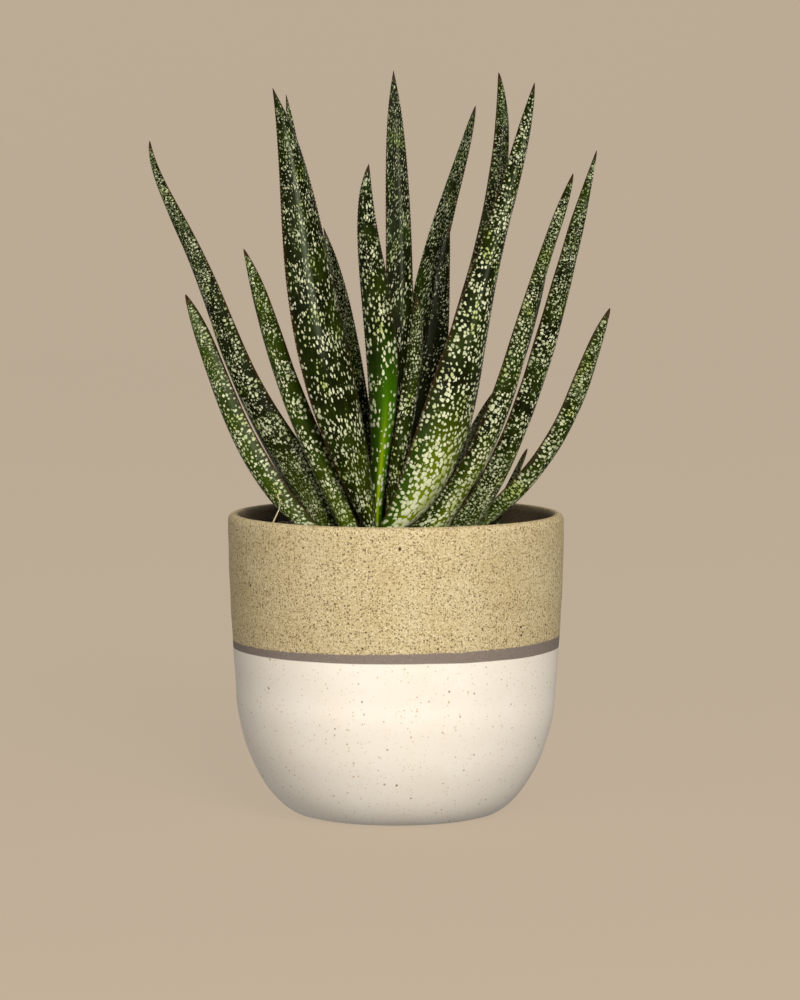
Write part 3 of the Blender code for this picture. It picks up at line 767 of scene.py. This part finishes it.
def build_soil(material, settings):
    """The soil: the pot's inside, set in by the gap, an uneven top, and the hole that the crown stands in."""
    edge_height = settings.level - settings.fall - 2 * settings.relief
    below = np.concatenate((bowl_profile(WALL, 10) + (-GAP, GAP), wall_profile(edge_height, WALL, 8) - (GAP, 0)))
    sides = turned(below, SOIL_AROUND)
    edge = turned([(wall_radius(settings.level, WALL) - GAP, 0)], SOIL_AROUND)[0]
    hole = oval(1.0, 0, SOIL_AROUND, GAP)
    share = np.linspace(0, 1, 46)[:, None, None]
    top = edge * (1 - share) + hole * share
    top[:, :, 2] = soil_height(top[:, :, 0], top[:, :, 1], settings)
    rim = oval(1.0, CROWN_TOP - CROWN_DROP, SOIL_AROUND, GAP)
    bottom = oval(CROWN_TAPER, CROWN_BOTTOM - GAP, SOIL_AROUND, GAP)
    grid = np.concatenate((sides, top, rim[None], bottom[None]))
    poles = [(0, 0, FLOOR + GAP), (0, CROWN_MIDDLE_Y, CROWN_BOTTOM - GAP)]
    vertices = np.concatenate((grid.reshape(-1, 3), poles))
    piece = smooth_mesh("potting_soil", vertices, tube_faces(len(grid), SOIL_AROUND, flip=False), material)
    own(piece, "potting_soil", "soil")
    return piece


def soil_material(settings):
    """Moist peat with bark: dark and matt, with grains a millimetre or less across."""
    material, tree = new_material("moist_peat")
    node = partial(add_node, tree)
    place = node("ShaderNodeTexCoord").node.outputs["Object"]
    grain = node("ShaderNodeTexNoise", {"Vector": place, "Scale": 900.0, "Detail": 4.0, "Roughness": 0.7})
    lumps = node("ShaderNodeTexVoronoi", {"Vector": place, "Scale": 620.0})
    dark = node("ShaderNodeMath", (grain, 2.0, -0.7), operation="MULTIPLY_ADD", use_clamp=True)
    colour = node("ShaderNodeMix", {"Factor": dark, "A": rgba("#120C08"), "B": rgba(settings.peat)},
                  data_type="RGBA")
    light = node("ShaderNodeMath", (grain, 5.0, -3.1), operation="MULTIPLY_ADD", use_clamp=True)
    colour = node("ShaderNodeMix", {"Factor": light, "A": colour, "B": rgba("#6B4E36")}, data_type="RGBA")
    height = node("ShaderNodeMath", (grain, lumps), operation="SUBTRACT")
    finish_material(tree, {"Base Color": colour, "Roughness": 0.92}, height, 0.5 * MM, 1.0)
    return material


def build_crown(material):
    """The crown: its tapering stump and oval dome, scarred in rings by old leaf bases."""
    around = 180
    scale = np.linspace(1, 0.02, 48)
    dome = np.stack([oval(s, CROWN_TOP - CROWN_DROP * s ** 2, around) for s in scale])
    scars = rough_field(dome[:, :, 0], dome[:, :, 1], 11, 9 * MM, 2.5 * MM)
    dome[:, :, 2] -= 0.35 * MM * (1 + np.clip(scars, -1, 1)) * 0.5
    stump = oval(CROWN_TAPER, CROWN_BOTTOM, around)[None]
    grid = np.concatenate((stump, dome))
    poles = [(0, CROWN_MIDDLE_Y, CROWN_BOTTOM), (0, CROWN_MIDDLE_Y, CROWN_TOP - 0.2 * MM)]
    vertices = np.concatenate((grid.reshape(-1, 3), poles))
    piece = smooth_mesh("leafy_crown", vertices, tube_faces(len(grid), around, flip=False), material)
    own(piece, "crown_flesh", "crown")
    return piece


def rounded_lump():
    """A small rounded lump: a cube's corners and face middles on a sphere, in 24 triangles."""
    corners = np.array([(x, y, z) for x in (-1, 1) for y in (-1, 1) for z in (-1, 1)]) / math.sqrt(3)
    middles = np.array([(1, 0, 0), (-1, 0, 0), (0, 1, 0), (0, -1, 0), (0, 0, 1), (0, 0, -1)], dtype=float)
    rounds = ((4, 6, 7, 5), (0, 1, 3, 2), (2, 3, 7, 6), (0, 4, 5, 1), (1, 5, 7, 3), (0, 2, 6, 4))
    faces = [(ring[i], ring[(i + 1) % 4], 8 + k) for k, ring in enumerate(rounds) for i in range(4)]
    return np.concatenate((corners, middles)), np.array(faces)


def scattered(name, centres, radii, seed, squash, material, slot):
    """Copies of the lump at many places: each one stretched, jittered and turned by a seeded draw."""
    draw = np.random.default_rng(seed)
    shape, faces = rounded_lump()
    count = len(centres)
    stretch = draw.uniform(0.65, 1.25, (count, 1, 3)) * (1, 1, squash)
    jitter = 1 + draw.uniform(-0.22, 0.22, (count, len(shape), 1))
    turn = draw.uniform(0, 2 * math.pi, count)
    lumps = shape[None] * jitter * stretch * radii[:, None, None]
    cos, sin = np.cos(turn)[:, None], np.sin(turn)[:, None]
    x = lumps[:, :, 0] * cos - lumps[:, :, 1] * sin
    y = lumps[:, :, 0] * sin + lumps[:, :, 1] * cos
    vertices = np.stack((x, y, lumps[:, :, 2]), axis=-1) + centres[:, None, :]
    indices = faces[None] + (np.arange(count) * len(shape))[:, None, None]
    piece = smooth_mesh(name, vertices.reshape(-1, 3), [indices.reshape(-1, 3)], material)
    own(piece, slot)
    return piece


def ground_height(x, y, settings):
    """What a crumb rests on: the crown inside its oval, the soil outside it."""
    inside = (x / CROWN_HALF_LENGTH) ** 2 + ((y - CROWN_MIDDLE_Y) / CROWN_HALF_DEPTH) ** 2 < 1
    return np.where(inside, crown_height(x, y), soil_height(x, y, settings))


def ground_points(count, seed, settings, reach):
    """Seeded places spread evenly inside the rim, on the soil or the crown."""
    draw = np.random.default_rng(seed)
    radius = reach * np.sqrt(draw.uniform(0, 1, count))
    turn = draw.uniform(0, 2 * math.pi, count)
    x, y = radius * np.cos(turn), radius * np.sin(turn)
    return x, y, ground_height(x, y, settings), draw


def build_litter(soil, perlite, fibre, settings):
    """What lies on the soil: crumbs of bark and peat, pale perlite, and dry root fibres."""
    reach = wall_radius(settings.level, WALL) - 2.2 * MM
    x, y, z, draw = ground_points(2600, 21, settings, reach)
    radii = settings.crumb * draw.uniform(0.22, 1.0, len(x)) ** 1.6
    centres = np.stack((x, y, z + 0.15 * radii), axis=-1)
    scattered("soil_crumbs", centres, radii, 22, 0.7, soil, "potting_soil")
    x, y, z, draw = ground_points(60, 31, settings, reach)
    radii = draw.uniform(0.6, 1.3, len(x)) * MM
    centres = np.stack((x, y, z + 0.35 * radii), axis=-1)
    scattered("perlite_grains", centres, radii, 32, 0.85, perlite, "potting_soil")
    build_fibres(fibre, settings)


def fibre_tube(points, radius, sides=8, rings=60):
    """A thin tube along a smooth curve through a few points, closed at both ends."""
    points = np.array(points) * MM
    along = np.linspace(0, 1, rings)
    path = np.stack([smooth_through(points[:, axis], along) for axis in range(3)], axis=-1)
    tangent = np.gradient(path, axis=0)
    tangent /= np.linalg.norm(tangent, axis=1, keepdims=True)
    level = np.cross(tangent, (0.31, 0.11, 0.94))
    level /= np.linalg.norm(level, axis=1, keepdims=True)
    upward = np.cross(level, tangent)
    turn = np.linspace(0, 2 * math.pi, sides, endpoint=False)
    width = radius * (0.75 + 0.25 * np.sin(9 * along)) * np.sqrt(np.clip(1 - (2 * along - 1) ** 8, 0.05, 1))
    ring = np.cos(turn)[None, :, None] * level[:, None, :] + np.sin(turn)[None, :, None] * upward[:, None, :]
    grid = path[:, None, :] + width[:, None, None] * ring
    return np.concatenate((grid.reshape(-1, 3), path[:1], path[-1:])), tube_faces(rings, sides, flip=True)


FIBRES = (
    (((-47.4, -8.8, 134.3), (-48.9, -10.2, 133.5), (-48.1, -11.6, 130.4), (-49.6, -13.5, 126.0),
      (-52.0, -16.0, 118.2)), 0.36),
    (((-54.0, 14.0, 118.6), (-48.0, 20.0, 120.2), (-41.0, 24.0, 119.0)), 0.22),
    (((50.0, -22.0, 116.6), (44.0, -30.0, 117.6), (35.0, -37.0, 117.2)), 0.2),
    (((-20.0, 46.0, 118.6), (-8.0, 50.0, 120.0), (4.0, 47.0, 118.6)), 0.22),
)


def build_fibres(material, settings):
    """Dry fibres: one hangs at the foot of the left leaf, the others lie on the soil."""
    parts = [fibre_tube(points, radius * MM) for points, radius in FIBRES]
    starts = np.cumsum([0] + [len(vertices) for vertices, faces in parts])
    vertices = np.concatenate([vertices for vertices, faces in parts])
    quads = np.concatenate([faces[0] + start for (_, faces), start in zip(parts, starts)])
    fans = np.concatenate([faces[1] + start for (_, faces), start in zip(parts, starts)])
    piece = smooth_mesh("dry_fibres", vertices, [quads, fans], material)
    own(piece, "potting_soil")
    return piece


def grain_material(name, light, dark, roughness, scale):
    """A matt granular solid whose colour drifts between two tones; scale is in waves a metre."""
    material, tree = new_material(name)
    node = partial(add_node, tree)
    place = node("ShaderNodeTexCoord").node.outputs["Object"]
    drift = node("ShaderNodeTexNoise", {"Vector": place, "Scale": scale, "Detail": 3.0})
    share = node("ShaderNodeMath", (drift, 2.2, -0.6), operation="MULTIPLY_ADD", use_clamp=True)
    colour = node("ShaderNodeMix", {"Factor": share, "A": rgba(light), "B": rgba(dark)}, data_type="RGBA")
    finish_material(tree, {"Base Color": colour, "Roughness": roughness}, drift, 0.2 * MM, 0.6)
    return material


def build_backdrop(material):
    """A round studio: a flat floor that curves up into a wall, so every side has a plain background."""
    floor, bend, wall = 3.2, 1.6, 5.0
    arc = np.linspace(0, math.pi / 2, 24)
    flat = np.column_stack((np.linspace(0.05, floor, 24), np.zeros(24)))
    curve = np.column_stack((floor + bend * np.sin(arc), bend * (1 - np.cos(arc))))[1:]
    upright = np.array([(floor + bend, wall)])
    grid = turned(np.concatenate((flat, curve, upright)), 128)
    rings = len(grid)
    quads, fans = tube_faces(rings, 128, flip=True)
    vertices = np.concatenate((grid.reshape(-1, 3), [(0, 0, 0), (0, 0, wall)]))
    piece = smooth_mesh("studio_backdrop", vertices, [quads, fans[:128]], material)
    return piece


def backdrop_material(settings):
    """Evenly lit seamless paper: most of its tone is its own, so that no light marks it strongly."""
    material, tree = new_material("seamless_paper")
    node = partial(add_node, tree)
    place = node("ShaderNodeTexCoord").node.outputs["Object"]
    drift = node("ShaderNodeTexNoise", {"Vector": place, "Scale": 1.3, "Detail": 2.0})
    tone = np.array(settings.backdrop)
    colour = node("ShaderNodeMix", {"Factor": drift, "A": rgba(tone), "B": rgba(tone * 0.98)}, data_type="RGBA")
    shader = node("ShaderNodeBsdfPrincipled", {
        "Base Color": rgba(tone * (1 - settings.glow) * 1.6), "Roughness": 0.9, "Specular IOR Level": 0.0,
        "Emission Color": colour, "Emission Strength": settings.glow})
    node("ShaderNodeOutputMaterial", {"Surface": shader})
    return material


def add_softbox(name, place, target, size, power, colour="#FFFFFF"):
    """A square area light that looks at a point."""
    light = bpy.data.lights.new(name, "AREA")
    light.shape = "SQUARE"
    light.size = size
    light.energy = power
    light.color = linear(colour)
    lamp = bpy.data.objects.new(name, light)
    lamp.location = place
    lamp.rotation_euler = (Vector(target) - Vector(place)).to_track_quat("-Z", "Y").to_euler()
    bpy.context.scene.collection.objects.link(lamp)
    return lamp


class GASTERIA_OT_leaves(bpy.types.Operator):
    """Replace the leaf solids by finely modelled, spotted leaves"""
    bl_idname = "gasteria.leaves"
    bl_label = "Leaves"

    def execute(self, context):
        settings = context.scene.gasteria_leaves
        material = leaf_skin_material(settings)
        for leaf in LEAVES:
            build_leaf(leaf, material, settings)
        return {"FINISHED"}


class GASTERIA_OT_crown(bpy.types.Operator):
    """Replace the crown solid by a scarred crown"""
    bl_idname = "gasteria.crown"
    bl_label = "Crown"

    def execute(self, context):
        build_crown(grain_material("crown_flesh_and_scars", "#5A5630", "#2A2417", 0.8, 240.0))
        return {"FINISHED"}


class GASTERIA_OT_soil(bpy.types.Operator):
    """Replace the soil solid by uneven peat"""
    bl_idname = "gasteria.soil"
    bl_label = "Soil"

    def execute(self, context):
        settings = context.scene.gasteria_soil
        build_soil(soil_material(settings), settings)
        return {"FINISHED"}


class GASTERIA_OT_litter(bpy.types.Operator):
    """Scatter crumbs, perlite and dry fibres on the soil"""
    bl_idname = "gasteria.litter"
    bl_label = "Litter"

    def execute(self, context):
        settings = context.scene.gasteria_soil
        crumbs = grain_material("bark_crumbs", "#3A281B", "#0F0A07", 0.9, 500.0)
        perlite = grain_material("perlite", settings.grit, "#B5AB98", 0.85, 700.0)
        fibre = grain_material("dry_root_fibre", settings.fibre, "#B0935F", 0.7, 400.0)
        build_litter(crumbs, perlite, fibre, settings)
        return {"FINISHED"}


class GASTERIA_OT_pot(bpy.types.Operator):
    """Replace the pot solid by the thrown and glazed pot"""
    bl_idname = "gasteria.pot"
    bl_label = "Pot"

    def execute(self, context):
        settings = context.scene.gasteria_pot
        build_pot(stoneware_material(settings), settings)
        return {"FINISHED"}


class GASTERIA_OT_stage(bpy.types.Operator):
    """Set up the plain backdrop, the soft lights and the photograph's camera"""
    bl_idname = "gasteria.stage"
    bl_label = "Stage"

    def execute(self, context):
        settings = context.scene.gasteria_stage
        backdrop = build_backdrop(backdrop_material(settings))
        backdrop.visible_diffuse = False
        backdrop.visible_glossy = False
        add_softbox("key_softbox", KEY_PLACE, LIT_PLACE, 0.8, settings.key_power, "#FFF8EE")
        add_softbox("fill_softbox", FILL_PLACE, LIT_PLACE, 1.2, settings.fill_power, "#FFF6EA")
        world = bpy.data.worlds.new("soft_studio_air")
        world.use_nodes = True
        air = world.node_tree.nodes["Background"]
        air.inputs["Color"].default_value = rgba("#FFF7EC")
        air.inputs["Strength"].default_value = settings.air
        context.scene.world = world
        context.scene.view_settings.view_transform = "Standard"
        camera = bpy.data.cameras.new("photo_camera")
        camera.sensor_width = SENSOR
        camera.lens = FOCAL_PIXELS / PHOTO_HEIGHT * SENSOR
        holder = bpy.data.objects.new("photo_camera", camera)
        holder.location = CAMERA_PLACE
        holder.rotation_euler = (CAMERA_TARGET - CAMERA_PLACE).to_track_quat("-Z", "Y").to_euler()
        context.scene.collection.objects.link(holder)
        context.scene.camera = holder
        return {"FINISHED"}


OPERATORS = (GASTERIA_OT_pot, GASTERIA_OT_soil, GASTERIA_OT_crown, GASTERIA_OT_leaves,
             GASTERIA_OT_litter, GASTERIA_OT_stage)
SETTINGS = (("gasteria_leaves", LeafSettings), ("gasteria_pot", PotSettings),
            ("gasteria_soil", SoilSettings), ("gasteria_stage", StageSettings))


class GASTERIA_PT_panel(bpy.types.Panel):
    """Lists the plant's pieces and their settings"""
    bl_idname = "GASTERIA_PT_panel"
    bl_label = "Potted gasteria"
    bl_space_type = "VIEW_3D"
    bl_region_type = "UI"
    bl_category = "Gasteria"

    def draw(self, context):
        for operator in OPERATORS:
            self.layout.operator(operator.bl_idname)
        for name, group in SETTINGS:
            box = self.layout.box()
            for key in group.__annotations__:
                box.prop(getattr(context.scene, name), key)


def register():
    """Register the settings, the operators and the panel."""
    for name, group in SETTINGS:
        bpy.utils.register_class(group)
        setattr(bpy.types.Scene, name, bpy.props.PointerProperty(type=group))
    for cls in (*OPERATORS, GASTERIA_PT_panel):
        bpy.utils.register_class(cls)


def unregister():
    """Undo what register did."""
    for cls in (GASTERIA_PT_panel, *reversed(OPERATORS)):
        bpy.utils.unregister_class(cls)
    for name, group in reversed(SETTINGS):
        delattr(bpy.types.Scene, name)
        bpy.utils.unregister_class(group)


def main():
    """Build every piece in order."""
    register()
    bpy.ops.gasteria.pot()
    bpy.ops.gasteria.soil()
    bpy.ops.gasteria.crown()
    bpy.ops.gasteria.leaves()
    bpy.ops.gasteria.litter()
    bpy.ops.gasteria.stage()


if __name__ == "__main__":
    main()
